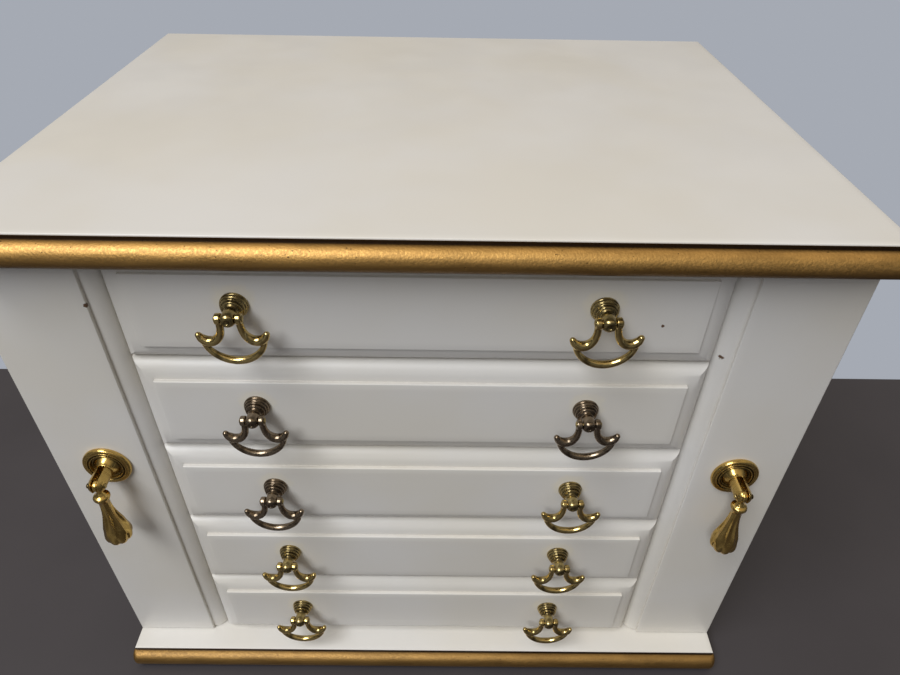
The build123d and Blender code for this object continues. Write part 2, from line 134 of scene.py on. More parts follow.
class Shape:
    """Points, faces and per-point values of a piece that is being drawn: how gilt it is, and how much
    painted shade darkens it.
    """

    def __init__(self):
        self.points = []
        self.faces = []
        self.gilt = []
        self.painted_shade = []

    def row(self, points, gilt=0.0, painted_shade=0.0):
        start = len(self.points)
        self.points += [Vector(p) for p in points]
        self.gilt += [gilt] * len(points)
        self.painted_shade += [painted_shade] * len(points)
        return list(range(start, len(self.points)))

    def bridge(self, a, b, closed=True):
        last = len(a) if closed else len(a) - 1
        for i in range(last):
            j = (i + 1) % len(a)
            self.faces.append((a[i], a[j], b[j], b[i]))

    def add(self, other):
        start = len(self.points)
        self.points += other.points
        self.gilt += other.gilt
        self.painted_shade += other.painted_shade
        self.faces += [tuple(start + i for i in face) for face in other.faces]

    def mesh(self, name):
        mesh = bpy.data.meshes.new(name)
        mesh.from_pydata([p * MM for p in self.points], [], self.faces)
        for title, values in (("gilt", self.gilt), ("painted_shade", self.painted_shade)):
            layer = mesh.attributes.new(title, "FLOAT", "POINT")
            layer.data.foreach_set("value", values)
        made = bmesh.new()
        made.from_mesh(mesh)
        bmesh.ops.recalc_face_normals(made, faces=made.faces)
        made.to_mesh(mesh)
        made.free()
        return mesh


def shade(mesh, sharp_degrees):
    mesh.shade_smooth()
    mesh.set_sharp_from_angle(angle=math.radians(sharp_degrees))
    return mesh


def piece(name, mesh, material, body, stands_for=(), place=(0, 0, 0)):
    """A finished piece of the object, riding on its body."""
    made = bpy.data.objects.new(name, mesh)
    bpy.context.scene.collection.objects.link(made)
    made.location = Vector(place) * MM
    if not mesh.materials:
        mesh.materials.append(material)
    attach(made, body)
    if stands_for:
        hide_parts(*stands_for)
    return made


def finished(name, mesh, modifiers):
    """The mesh with modifiers, given as (type, settings), applied to it."""
    holder = bpy.data.objects.new(name, mesh)
    bpy.context.scene.collection.objects.link(holder)
    for kind, settings in modifiers:
        modifier = holder.modifiers.new(kind.title(), kind)
        for key, value in settings.items():
            setattr(modifier, key, value)
    graph = bpy.context.evaluated_depsgraph_get()
    made = bpy.data.meshes.new_from_object(holder.evaluated_get(graph))
    bpy.data.objects.remove(holder)
    return made


def cast(name, shapes, voxel, smooth):
    """One skin over several closed shapes that overlap, as a casting has."""
    whole = Shape()
    for shape in shapes:
        whole.add(shape)
    mesh = finished(name, whole.mesh(name), (
        ("REMESH", {"mode": "VOXEL", "voxel_size": voxel * MM, "use_smooth_shade": True}),
        ("SMOOTH", {"factor": 0.5, "iterations": smooth}),
    ))
    mesh.shade_smooth()
    return mesh


def turned(profile, axis, segments=48):
    """A closed solid turned about an axis, from (place along the axis, radius) points."""
    shape = Shape()
    turn = {"X": ((0, 1, 0), (0, 0, 1), (1, 0, 0)), "Y": ((1, 0, 0), (0, 0, 1), (0, 1, 0)),
            "Z": ((1, 0, 0), (0, 1, 0), (0, 0, 1))}[axis]
    u, v, w = (Vector(d) for d in turn)
    rows = []
    for along, radius in profile:
        angles = [2 * math.pi * i / segments for i in range(segments)]
        rows.append(shape.row([w * along + (u * math.cos(a) + v * math.sin(a)) * radius for a in angles]))
    for a, b in zip(rows, rows[1:]):
        shape.bridge(a, b)
    shape.faces += [tuple(rows[0]), tuple(reversed(rows[-1]))]
    return shape


def tube(line, segments=20):
    """A round rod with domed ends along (x, y, z, radius) points that lie in an XZ plane."""
    shape = Shape()
    places = [Vector(p[:3]) for p in line]
    radii = [p[3] for p in line]
    ways = []
    for i in range(len(places)):
        way = places[min(i + 1, len(places) - 1)] - places[max(i - 1, 0)]
        ways.append(way.normalized())
    stations = [(places[0] - ways[0] * radii[0] * math.sin(a), ways[0], radii[0] * math.cos(a))
                for a in (1.4, 1.0, 0.5)]
    stations += list(zip(places, ways, radii))
    stations += [(places[-1] + ways[-1] * radii[-1] * math.sin(a), ways[-1], radii[-1] * math.cos(a))
                 for a in (0.5, 1.0, 1.4)]
    rows = []
    for place, way, radius in stations:
        across = Vector((0, 1, 0))
        up = way.cross(across)
        angles = [2 * math.pi * i / segments for i in range(segments)]
        rows.append(shape.row([place + (across * math.cos(a) + up * math.sin(a)) * radius for a in angles]))
    for a, b in zip(rows, rows[1:]):
        shape.bridge(a, b)
    shape.faces += [tuple(rows[0]), tuple(reversed(rows[-1]))]
    return shape


# ---- materials ----------------------------------------------------------------------------------------
class Graph:
    """A material's nodes, with short calls that add one and give its output."""

    def __init__(self, name):
        self.material = bpy.data.materials.new(name)
        self.material.use_nodes = True
        self.tree = self.material.node_tree
        self.shader = self.tree.nodes["Principled BSDF"]
        self.place = self.node("ShaderNodeTexCoord").outputs["Object"]

    def node(self, kind, inputs=None, **settings):
        made = self.tree.nodes.new(kind)
        for key, value in settings.items():
            setattr(made, key, value)
        for key, value in (inputs or {}).items():
            self.feed(made.inputs[key], value)
        return made

    def feed(self, socket, value):
        if isinstance(value, bpy.types.NodeSocket):
            self.tree.links.new(value, socket)
        else:
            socket.default_value = value

    def stretched(self, scale, shift=0.0):
        """The place, scaled along each axis and shifted."""
        inputs = {"Vector": self.place, "Scale": scale, "Location": (shift, shift, shift)}
        return self.node("ShaderNodeMapping", inputs).outputs["Vector"]

    def noise(self, size, detail=2.0, rough=0.5, scale=(1, 1, 1), shift=0.0):
        """Noise whose features are about size millimetres."""
        inputs = {"Vector": self.stretched(scale, shift), "Scale": 1 / (size * MM),
                  "Detail": detail, "Roughness": rough}
        return self.node("ShaderNodeTexNoise", inputs).outputs["Fac"]

    def ramp(self, value, low, high, to_low=0.0, to_high=1.0):
        """The value, from low to high, taken smoothly to another range."""
        inputs = {"Value": value, "From Min": low, "From Max": high, "To Min": to_low, "To Max": to_high}
        return self.node("ShaderNodeMapRange", inputs, interpolation_type="SMOOTHSTEP").outputs["Result"]

    def math(self, operation, a, b=0.0):
        made = self.node("ShaderNodeMath", operation=operation)
        self.feed(made.inputs[0], a)
        self.feed(made.inputs[1], b)
        return made.outputs[0]

    def mix(self, factor, a, b):
        """Colour a where factor is 0 and colour b where it is 1."""
        made = self.node("ShaderNodeMix", data_type="RGBA")
        self.feed(made.inputs["Factor"], factor)
        for key, value in ((6, a), (7, b)):
            self.feed(made.inputs[key], value if isinstance(value, bpy.types.NodeSocket) else (*value, 1))
        return made.outputs[2]

    def attribute(self, name):
        return self.node("ShaderNodeAttribute", attribute_name=name).outputs["Fac"]

    def bump(self, height, depth, normal=None):
        """A bump whose highest points stand depth millimetres above its lowest ones."""
        inputs = {"Height": height, "Distance": depth * MM, "Strength": 1.0}
        if normal is not None:
            inputs["Normal"] = normal
        return self.node("ShaderNodeBump", inputs).outputs["Normal"]

    def near(self, centre, radius, ragged):
        """1 within a ragged patch of radius millimetres about a place, and 0 outside it."""
        apart = self.node("ShaderNodeVectorMath", operation="DISTANCE")
        self.feed(apart.inputs[0], self.place)
        self.feed(apart.inputs[1], Vector(centre) * MM)
        drift = self.math("SUBTRACT", self.noise(radius * 0.9), 0.5)
        wander = self.math("MULTIPLY", drift, ragged * radius * MM)
        reach = self.math("ADD", apart.outputs["Value"], wander)
        return self.ramp(reach, radius * 0.85 * MM, radius * 1.1 * MM, 1.0, 0.0)

    def finish(self, **inputs):
        for key, value in inputs.items():
            if isinstance(value, tuple) and len(value) == 3:
                value = (*value, 1)
            self.feed(self.shader.inputs[key.replace("_", " ")], value)
        return self.material


CREAM = (0.80, 0.78, 0.74)
CREAM_WARM = (0.78, 0.745, 0.67)
# grime for the specks, and also the colour of the painted shade in corners and gaps
GRIME_AND_SHADE = (0.42, 0.37, 0.29)
HALO = (0.84, 0.79, 0.66)
CHIP = (0.13, 0.07, 0.035)
GOLD = (0.65, 0.38, 0.11)
GOLD_DARK = (0.16, 0.08, 0.018)
SHADOW_GOLD = (0.03, 0.013, 0.003)
BRASS = (0.60, 0.45, 0.18)
GOLDEN = (0.66, 0.45, 0.14)
OLIVE = (0.50, 0.39, 0.17)
BRONZE = (0.29, 0.225, 0.155)
BRASS_DARK = (0.035, 0.02, 0.008)


def paint_nodes(graph):
    """Brushed satin cream paint: its colour, roughness and normal."""
    tone = graph.ramp(graph.noise(90, 3), 0.35, 0.7)
    colour = graph.mix(tone, CREAM, CREAM_WARM)
    specks = graph.ramp(graph.noise(2.2, 2, shift=3.1), 0.80, 0.86)
    colour = graph.mix(graph.math("MULTIPLY", specks, 0.5), colour, GRIME_AND_SHADE)
    patchy = graph.ramp(graph.noise(9, 4, shift=1.7), 0.3, 0.7, 0.55, 1.0)
    # painted shade: the paint is darkened, patchily, by the per-point value that marks the routed steps and
    # the rims beside the gaps
    painted_shade = graph.math("MULTIPLY", graph.attribute("painted_shade"), patchy)
    colour = graph.mix(painted_shade, colour, GRIME_AND_SHADE)
    rough = graph.ramp(graph.noise(30, 4, shift=5.0), 0.3, 0.7, 0.36, 0.46)
    peel = graph.math("ADD", graph.noise(1.6, 2), graph.math("MULTIPLY", graph.noise(9, 2, shift=2.0), 2.0))
    return colour, rough, graph.bump(peel, 0.012)


def chipped(graph, colour):
    """The colour with the wood showing at each chip."""
    for centre, radius in CHIPS:
        colour = graph.mix(graph.near(centre, radius, 1.1), colour, CHIP)
    return colour


def cream_paint():
    graph = Graph("cream_paint")
    colour, rough, normal = paint_nodes(graph)
    colour = chipped(graph, colour)
    return graph.finish(Base_Color=colour, Roughness=rough, Normal=normal)


def front_paint():
    """Cream paint with a yellowed ring round each post, and its few chips."""
    graph = Graph("front_paint")
    colour, rough, normal = paint_nodes(graph)
    post = joint_place("drawer_1_bail_right_swing")
    pitch = post.z - joint_place("drawer_2_bail_right_swing").z
    x, _, z = graph.node("ShaderNodeSeparateXYZ", {"Vector": graph.place}).outputs
    across = graph.math("SUBTRACT", graph.math("ABSOLUTE", x), post.x * MM)
    up = graph.node("ShaderNodeMath", operation="WRAP")
    for socket, value in zip(up.inputs, (graph.math("SUBTRACT", z, (post.z + HALO_RISE) * MM),
                                         pitch / 2 * MM, -pitch / 2 * MM)):
        graph.feed(socket, value)
    apart = graph.math("SQRT", graph.math("ADD", graph.math("POWER", across, 2.0),
                                          graph.math("POWER", up.outputs[0], 2.0)))
    wander = graph.math("MULTIPLY", graph.math("SUBTRACT", graph.noise(6, 3, shift=3.3), 0.5), 7 * MM)
    halo = graph.ramp(graph.math("ADD", apart, wander), 6.0 * MM, 9.5 * MM, 0.6, 0.0)
    colour = graph.mix(halo, colour, HALO)
    colour = chipped(graph, colour)
    return graph.finish(Base_Color=colour, Roughness=rough, Normal=normal)


def board_paint():
    """Cream on the flats and gold on the bead and the step, with an uneven line between them."""
    graph = Graph("board_paint")
    cream, cream_rough, cream_normal = paint_nodes(graph)
    streaks = graph.ramp(graph.noise(2.5, 4, 0.6, scale=(0.12, 0.12, 1), shift=4.0), 0.3, 0.72)
    gold = graph.mix(graph.math("MULTIPLY", streaks, 0.35), GOLD, GOLD_DARK)
    pits = graph.ramp(graph.noise(1.1, 2, shift=8.0), 0.70, 0.78)
    gold = graph.mix(pits, gold, GOLD_DARK)
    # painted shade: the gold goes towards near black where the per-point value marks the step, the bead's
    # underside, and the base board's even darkening
    gold = graph.mix(graph.attribute("painted_shade"), gold, SHADOW_GOLD)
    waves = graph.math("MULTIPLY", graph.noise(4.5, 2, shift=6.0), 0.9)
    grain = graph.math("ADD", graph.noise(0.9, 2, 0.6), waves)
    grain = graph.math("SUBTRACT", grain, graph.math("MULTIPLY", pits, 1.5))
    gold_normal = graph.bump(grain, 0.12)
    wander = graph.math("MULTIPLY", graph.math("SUBTRACT", graph.noise(7, 4, 0.6, shift=9.0), 0.5), 0.18)
    edge = graph.ramp(graph.math("ADD", graph.attribute("gilt"), wander), 0.48, 0.52)
    normal = graph.node("ShaderNodeMix", {"Factor": edge}, data_type="VECTOR")
    graph.feed(normal.inputs[4], cream_normal)
    graph.feed(normal.inputs[5], gold_normal)
    graph.shader.inputs["Coat Weight"].default_value = 0.3
    graph.shader.inputs["Coat Roughness"].default_value = 0.4
    gold_rough = graph.ramp(graph.noise(0.9, 3, shift=2.5), 0.3, 0.7, 0.46, 0.62)
    rough = graph.node("ShaderNodeMix", {"Factor": edge}, data_type="FLOAT")
    graph.feed(rough.inputs[2], cream_rough)
    graph.feed(rough.inputs[3], gold_rough)
    return graph.finish(Base_Color=graph.mix(edge, cream, gold), Roughness=rough.outputs[0],
                        Metallic=edge, Normal=normal.outputs[1])


def brass(name, base, rough_low, rough_high, dark_share):
    """Brass that is dark with patina in its hollows, with dark blotches that are partly tarnish and partly
    painted reflections of a dark room.
    """
    graph = Graph(name)
    hollow = graph.node("ShaderNodeAmbientOcclusion", {"Distance": 1.6 * MM}, only_local=True, samples=8)
    recess = graph.ramp(hollow.outputs["AO"], 0.5, 0.98, 1.0, 0.0)
    blotch = graph.ramp(graph.noise(5.0, 3, 0.55), 0.42, 0.68)
    # dark blotches: tarnish, and partly painted dark reflections of the room
    tarnish_and_reflection = graph.math("MULTIPLY", blotch, dark_share)
    dark = graph.math("ADD", graph.math("MULTIPLY", recess, 0.95), tarnish_and_reflection)
    dark = graph.ramp(dark, 0.0, 1.0)
    colour = graph.mix(dark, base, BRASS_DARK)
    rough = graph.ramp(graph.noise(1.1, 3, shift=3.0), 0.3, 0.7, rough_low, rough_high)
    dents = graph.math("MULTIPLY", graph.noise(3.0, 2, shift=4.0), 2.0)
    marks = graph.math("ADD", graph.noise(0.8, 3), dents)
    return graph.finish(Base_Color=colour, Roughness=rough, Metallic=1.0, Normal=graph.bump(marks, 0.02))


def bare_wood():
    graph = Graph("bare_wood")
    grain = graph.noise(2.0, 5, 0.6, scale=(1, 0.06, 1))
    broad = graph.noise(26, 3, 0.5, scale=(1, 0.15, 1), shift=2.0)
    colour = graph.mix(graph.ramp(grain, 0.35, 0.7), (0.66, 0.50, 0.32), (0.50, 0.34, 0.19))
    colour = graph.mix(graph.math("MULTIPLY", graph.ramp(broad, 0.4, 0.7), 0.5), colour, (0.72, 0.58, 0.40))
    return graph.finish(Base_Color=colour, Roughness=0.6, Normal=graph.bump(grain, 0.05))


def pile(name, colour, deep, sheen):
    """A short pile, with the light and dark patches that brushing leaves."""
    graph = Graph(name)
    fibres = graph.noise(0.45, 3, 0.7)
    swept = graph.ramp(graph.noise(14, 4, 0.6, shift=2.0), 0.35, 0.7)
    shade_of = graph.mix(swept, colour, deep)
    shade_of = graph.mix(graph.math("MULTIPLY", graph.ramp(fibres, 0.4, 0.7), 0.5), shade_of, deep)
    graph.shader.inputs["Sheen Weight"].default_value = sheen
    graph.shader.inputs["Sheen Roughness"].default_value = 0.35
    graph.shader.inputs["Sheen Tint"].default_value = (*(min(1, 4 * c + 0.25) for c in colour), 1)
    graph.shader.inputs["Specular IOR Level"].default_value = 0.15
    return graph.finish(Base_Color=shade_of, Roughness=0.95, Normal=graph.bump(fibres, 0.12))


def steel():
    graph = Graph("steel")
    worn = graph.ramp(graph.noise(1.5, 4), 0.35, 0.7)
    colour = graph.mix(worn, (0.55, 0.55, 0.56), (0.33, 0.32, 0.32))
    return graph.finish(Base_Color=colour, Metallic=1.0, Roughness=graph.ramp(worn, 0, 1, 0.3, 0.45))


def table_material():
    graph = Graph("table")
    clouds = graph.ramp(graph.noise(120, 3), 0.3, 0.7)
    tone = graph.mix(clouds, (0.050, 0.045, 0.050), (0.058, 0.052, 0.057))
    return graph.finish(Base_Color=tone, Roughness=0.5)


# ---- painted boards -----------------------------------------------------------------------------------
def board_profile():
    """(out, height, gilt, painted shade) from the flat, over the step and round the bead, to the underside.
    """
    top = 2 * BEAD_R
    rows = [(-3.0, BOARD_T, 0.0, 0.0)]
    edge = arc((-BOARD_ROUND, BOARD_T - BOARD_ROUND), [BOARD_ROUND] * 2, 90, 0, 3)
    rows += [(x, z, 0.1, 0.0) for x, z in edge]
    # the step and its foot: gold with painted shade, nearly black
    rows += [(0.0, top + 1.35, 0.75, 0.95), (0.0, top + 0.35, 0.8, 1.0)]
    rows += [(0.12, top + 0.1, 0.9, 1.0), (0.4, top, 1.0, 0.9)]
    steps = 22
    curve = arc((0, BEAD_R), (BEAD_R, BEAD_R), 82, -82, steps)
    shares = [1 - 2 * i / steps for i in range(steps + 1)]  # 1 at the bead's top and -1 at its underside
    # painted shade on the bead: dark at its top beside the step's foot, and growing from its middle to its
    # underside
    rows += [(x, z, 1.0, max(0.0, 3 * share - 2.5, min(0.85, 0.15 - 1.1 * share)))
             for (x, z), share in zip(curve, shares)]
    rows += [(0.0, 0.0, 0.9, 0.0), (-4.0, 0.0, 0.0, 0.0)]
    return rows


def along(start, end, count):
    return [start.lerp(end, i / count) for i in range(count)]


def mitred_path(half, front, back, out):
    """Round the front and both sides, with the moulding mitred at the front corners."""
    corners = [Vector((-half - out, back, 0)), Vector((-half - out, front - out, 0)),
               Vector((half + out, front - out, 0)), Vector((half + out, back, 0))]
    path = along(corners[0], corners[1], 36) + along(corners[1], corners[2], 48)
    return path + along(corners[2], corners[3], 36) + [corners[3]]


def plain_sided_path(half, front, back, out):
    """Up a plain side, round the bead's end to the front, and the same mirrored."""
    turn = front + BEAD_R + 0.6
    if out > 0:
        reach = BEAD_INSET + BEAD_END * out / BEAD_R
        side = along(Vector((-half, back, 0)), Vector((-half, turn, 0)), 30)
        arcs = [Vector((x, y, 0)) for x, y in arc((BEAD_INSET - half, front), (reach, out), 90, 270, 12)]
        end = [Vector((min(p.x, -half), p.y, 0)) if p.y > front else p for p in arcs]
    else:
        edge = -half - out
        corner, inner = Vector((edge, front - out, 0)), Vector((edge + BEAD_INSET, front - out, 0))
        side = along(Vector((edge, back, 0)), Vector((edge, turn, 0)), 30)
        end = along(Vector((edge, turn - 0.5, 0)), corner, 6) + along(corner, inner, 6) + [inner]
    left = side + end
    right = [Vector((-p.x, p.y, 0)) for p in reversed(left)]
    return left + along(left[-1], right[0], 48)[1:] + right


def moulded_board(node, worn):
    """A board with its moulding, slightly uneven under the paint; worn darkens all of its gold evenly."""
    low, high = box_mm(node)
    wraps = node == "top_board"
    half = high.x - (BEAD_R if wraps else BEAD_END)
    front = low.y + BEAD_R
    shape = Shape()
    rows = []
    for out, height, gilt, painted_shade in board_profile():
        path = (mitred_path if wraps else plain_sided_path)(half, front, high.y, out)
        path = [p + Vector((0, 0, low.z + height)) for p in path]
        if out > 0.5:
            path = [p + Vector((p.x, p.y, 0)).normalized() * 0.12 * noise.noise(p * 0.09) for p in path]
        # the profile's painted shade and worn's even darkening of the gold go into one per-point value
        rows.append(shape.row(path, gilt, max(painted_shade, worn * gilt)))
    for a, b in zip(rows, rows[1:]):
        shape.bridge(a, b, closed=False)
    shape.faces += [tuple(rows[0]), tuple(reversed(rows[-1]))]
    shape.faces.append(tuple([row[0] for row in rows] + [row[-1] for row in reversed(rows)]))
    return shade(shape.mesh(node + "_painted"), 32)


# ---- drawer fronts and stiles --------------------------------------------------------------------------
def routed_profile(width):
    """(inset, depth behind the field, painted shade) from the rim to the field."""
    curve = arc((width, ROUT_RIM), (width, ROUT_RIM - ROUT_STEP), 180, 270, 12)
    # painted shade on the rim's edge, and in the corner at the foot of the step
    rows = [(x, z, 0.35 if i == 0 else 0.0) for i, (x, z) in enumerate(curve[:-1])]
    rows += [(width - 0.15, ROUT_STEP, 0.25), (width, ROUT_STEP - 0.15, 0.3), (width, 0.35, 0.0)]
    rows += [(width + 0.35 - x, 0.35 - z, 0.0) for x, z in arc((0, 0), (0.35, 0.35), 20, 90, 3)]
    return rows


def raised_front(node):
    low, high = box_mm(node)
    shape = Shape()
    rows = []
    centre = (low + high) / 2
    # painted shade along the rim's edge, beside the gap between the fronts
    profile = [(0.4, high.y - low.y, 0.0), (0.0, high.y - low.y - 0.4, 0.0), (0.0, ROUT_RIM + 0.25, 0.2)]
    profile += routed_profile(ROUT_W) + [(ROUT_W + 4.0, 0.0, 0.0)]
    for inset, depth, painted_shade in profile:
        x, z = (high.x - low.x) / 2 - inset, (high.z - low.z) / 2 - inset
        corners = [Vector((centre.x + a * x, low.y + depth, centre.z + b * z))
                   for a, b in ((-1, -1), (1, -1), (1, 1), (-1, 1))]
        path = []
        for start, end, count in zip(corners, corners[1:] + corners[:1], (24, 6, 24, 6)):
            path += along(start, end, count)
        rows.append(shape.row(path, 0.0, painted_shade))
    for a, b in zip(rows, rows[1:]):
        shape.bridge(a, b)
    shape.faces += [tuple(rows[0]), tuple(reversed(rows[-1]))]
    return shade(shape.mesh(node + "_painted"), 32)


def stile(side, node):
    """The front board of a door: flat, with the routed edge beside the drawers."""
    low, high = box_mm(node)
    inner = min(abs(low.x), abs(high.x))
    outer = max(abs(low.x), abs(high.x))
    # painted shade along the rim's edge, beside the gap to the drawers
    section = [(inner, high.y - 0.3, 0.0), (inner, low.y + ROUT_RIM + 0.3, 0.2)]
    section += [(inner + inset, low.y + depth, painted_shade) for inset, depth, painted_shade in routed_profile(STILE_ROUT_W)]
    section += [(inner + STILE_ROUT_W + 4.0, low.y, 0.0)]
    corner = arc((outer - EDGE_ROUND, low.y + EDGE_ROUND), (EDGE_ROUND, EDGE_ROUND), 270, 360, 5)
    section += [(x, y, 0.0) for x, y in corner] + [(outer, high.y, 0.0), (inner + 0.3, high.y, 0.0)]
    shape = Shape()
    inside = [low.z + (high.z - low.z) * i / 24 for i in range(1, 24)]
    heights = [low.z, low.z + 0.3] + inside + [high.z - 0.3, high.z]
    columns = []
    for z in heights:
        row = shape.row([(side * x, y, z) for x, y, _ in section])
        for index, (_, _, painted_shade) in zip(row, section):
            shape.painted_shade[index] = painted_shade
        columns.append(row)
    for a, b in zip(columns, columns[1:]):
        shape.bridge(a, b)
    shape.faces += [tuple(columns[0]), tuple(reversed(columns[-1]))]
    return shade(shape.mesh(node + "_painted"), 32)


# ---- cast brass pulls, drawn about their pivots ---------------------------------------------------------
def ring_bulge(back, front, radius, bulge):
    """(place, radius) points round one turned ring."""
    middle, half = (back + front) / 2, (back - front) / 2
    points = arc((middle, radius - bulge), (half, bulge), 0, 180, 6)
    return [(y, r) for y, r in points]


def post_mesh():
    """A beehive of three rings on a flange, a neck, and a domed head flattened between the bail's ears."""
    profile = [(POST_REACH, 5.2), (POST_REACH, 5.55), (POST_REACH - 0.9, 5.6), (POST_REACH - 1.1, 5.3)]
    profile += ring_bulge(POST_REACH - 1.2, POST_REACH - 2.3, 5.25, 0.5)
    profile += ring_bulge(POST_REACH - 2.4, POST_REACH - 3.4, 4.7, 0.5)
    profile += ring_bulge(POST_REACH - 3.5, POST_REACH - 4.5, 4.05, 0.5)
    profile += [(p.x, p.y) for p in spline([(4.6, 3.3), (3.9, 2.6), (2.9, 2.6), (1.6, 2.95), (-0.4, 3.0),
                                            (-1.9, 2.7), (-2.7, 1.9), (-2.8, 1.2), (-2.4, 0.8)], 4)]
    post = turned(profile, "Y", 64)
    for point in post.points:
        if point.y < 3.0:
            point.x = max(-HEAD_HALF, min(HEAD_HALF, point.x))
    return cast("post", [post], 0.17, 2)


def pin_mesh(half, radius, head):
    """A rivet with domed ends."""
    dome = arc((half, 0), (0.55, head), 90, 10, 5)
    right = [(half, radius), (half, head)] + [(x, r) for x, r in dome]
    profile = [(-x, r) for x, r in reversed(right)] + right
    return shade(turned(profile, "X", 32).mesh("pin"), 45)


def bail_mesh():
    """Two S-shaped arms that end in upturned horns, with a bow slung below them."""
    arm = [(3.85, 0, 0, 1.45), (3.9, 0, -4.2, 1.45), (4.9, 0, -7.7, 1.65), (7.1, 0, -10.0, 1.95),
           (9.8, 0, -10.4, 2.05), (11.9, 0, -9.1, 1.75), (12.9, 0, -7.5, 1.3)]
    shapes = []
    for side in (-1, 1):
        shapes.append(tube([(side * p[0], p[1], p[2], p[3]) for p in spline(arm, 6)]))
        ear = [(2.7, 0.9), (2.7, 1.9), (2.95, 2.2), (4.7, 2.2), (5.0, 1.9), (5.0, 0.9)]
        shapes.append(turned([(side * x, r) for x, r in ear], "X", 40))
    bow = []
    for degrees in range(194, 347, 4):
        turn = math.radians(degrees)
        middle = math.sin(math.radians((degrees - 194) / 152 * 180))
        bow.append((12 * math.cos(turn), 0.0, -8 + 12 * math.sin(turn), 1.05 + 0.55 * middle))
    shapes.append(tube(bow))
    return cast("bail", shapes, 0.2, 3)


def plate_mesh():
    """A plate with a full rim, a bead and a deep dish, and a flared post that is slotted as a clevis."""
    reach = PENDANT_REACH
    profile = [(reach, 10.4), (reach, 10.8)]
    profile += [(p.x, p.y) for p in spline([(reach - 0.3, 11.05), (reach - 1.1, 11.1), (reach - 1.9, 10.75),
                                            (reach - 2.3, 10.1), (reach - 2.1, 9.45)], 4)]
    profile += [(p.x, p.y) for p in spline([(reach - 1.9, 9.3), (reach - 2.4, 9.0), (reach - 2.35, 8.55),
                                            (reach - 1.8, 8.3)], 4)]
    profile += [(p.x, p.y) for p in spline([(reach - 1.8, 8.1), (reach - 2.4, 7.8), (reach - 2.4, 7.4),
                                            (reach - 1.7, 7.1)], 4)]
    profile += [(p.x, p.y) for p in spline([(reach - 1.2, 6.8), (reach - 1.2, 6.1), (reach - 2.2, 5.2),
                                            (reach - 3.4, 4.5), (reach - 4.6, 4.05)], 4)]
    shapes = [turned(profile, "Y", 72)]
    cheek = [(reach - 4.0, 4.15), (6.0, 3.9), (0.6, 3.9)] + [(p.x, p.y) for p in spline(
        [(-0.8, 3.7), (-2.0, 3.0), (-2.7, 2.0), (-2.8, 0.8)], 4)]
    for side in (-1, 1):
        half = turned(cheek, "Y", 64)
        for point in half.points:
            point.x = side * max(SLOT_HALF, side * point.x)
        shapes.append(half)
    return cast("plate", shapes, 0.17, 2)


def fluted(rows, lobes, turn):
    """A turned solid with flutes. Rows are (place, radius, flute depth as a share, negative for a bulge)."""
    shape = Shape()
    count = lobes * 12
    rings = []
    for z, radius, depth in rows:
        points = []
        for i in range(count):
            share = (i % 12) / 6 - 1
            r = radius * (1 - depth * (1 - share * share))
            angle = 2 * math.pi * i / count + turn
            points.append((r * math.cos(angle), r * math.sin(angle), z))
        rings.append(shape.row(points))
    for a, b in zip(rings, rings[1:]):
        shape.bridge(a, b)
    shape.faces += [tuple(rings[0]), tuple(reversed(rings[-1]))]
    return shape


def drop_mesh():
    """Knuckle, cup-shaped collar, slender neck and a fluted pear."""
    knuckle = [(-1.15, 0.9), (-1.15, 2.35), (-0.6, 2.7), (0.6, 2.7), (1.15, 2.35), (1.15, 0.9)]
    stem = [(-1.5, 1.1), (-4.2, 1.15), (-5.0, 1.7), (-6.0, 2.4)]
    collar = [(p.x, p.y) for p in spline([(-4.8, 1.4), (-5.8, 2.3), (-6.5, 3.4), (-7.5, 3.75), (-8.6, 3.4),
                                          (-10.0, 2.7)], 4)]
    rows = [(-9.4, 2.8, 0.0), (-12.0, 2.6, 0.1), (-16.0, 2.85, 0.18), (-21.0, 3.65, 0.24),
            (-26.0, 4.9, 0.2), (-30.0, 5.8, 0.08), (-33.0, 5.9, -0.06), (-35.5, 5.6, -0.12),
            (-37.6, 4.7, -0.14), (-39.2, 3.1, -0.1), (-40.0, 1.7, 0.0), (-40.8, 1.1, 0.0), (-41.2, 0.6, 0.0)]
    pear = fluted([tuple(p) for p in spline(rows, 5)], 8, math.radians(20))
    shapes = [turned(knuckle, "X", 40), turned(stem, "Z"), turned(collar, "Z"), pear]
    return cast("drop", shapes, 0.16, 2)


# ---- velvet and felt ------------------------------------------------------------------------------------
def tray(low, high, thick, round_in):
    """A cloth-covered tray: a floor and four walls with rounded inner corners and a folded top edge."""
    shape = Shape()

    def loop(inset, z, radius):
        x0, x1, y0, y1 = low.x + inset, high.x - inset, low.y + inset, high.y - inset
        points = []
        for cx, cy, start in ((x1 - radius, y1 - radius, 0), (x0 + radius, y1 - radius, 90),
                              (x0 + radius, y0 + radius, 180), (x1 - radius, y0 + radius, 270)):
            points += [(x, y, z) for x, y in arc((cx, cy), (radius, radius), start, start + 90, 4)]
        return shape.row(points)

    rows = [loop(1.5, low.z, 1.0), loop(0.0, low.z + 1.0, 0.8)]
    rows += [loop(0.0, low.z + (high.z - low.z) * k / 6, 0.8) for k in range(1, 6)]
    rows += [loop(thick * (1 - math.cos(a)) / 2, high.z - thick / 2 + thick / 2 * math.sin(a), 1.0)
             for a in (0, 0.8, 1.57, 2.3, 3.14)]
    rows += [loop(thick, low.z + (high.z - low.z) * k / 6, 1.2) for k in range(5, 0, -1)]
    rows += [loop(thick + inset, z, 1.5 + inset) for inset, z in
             ((x, low.z + thick + round_in - y) for x, y in
              ((round_in * (1 - math.cos(a)), round_in * math.sin(a)) for a in (0.4, 0.8, 1.2, 1.57)))]
    for a, b in zip(rows, rows[1:]):
        shape.bridge(a, b)
    shape.faces += [tuple(rows[0]), tuple(reversed(rows[-1]))]
    return shape


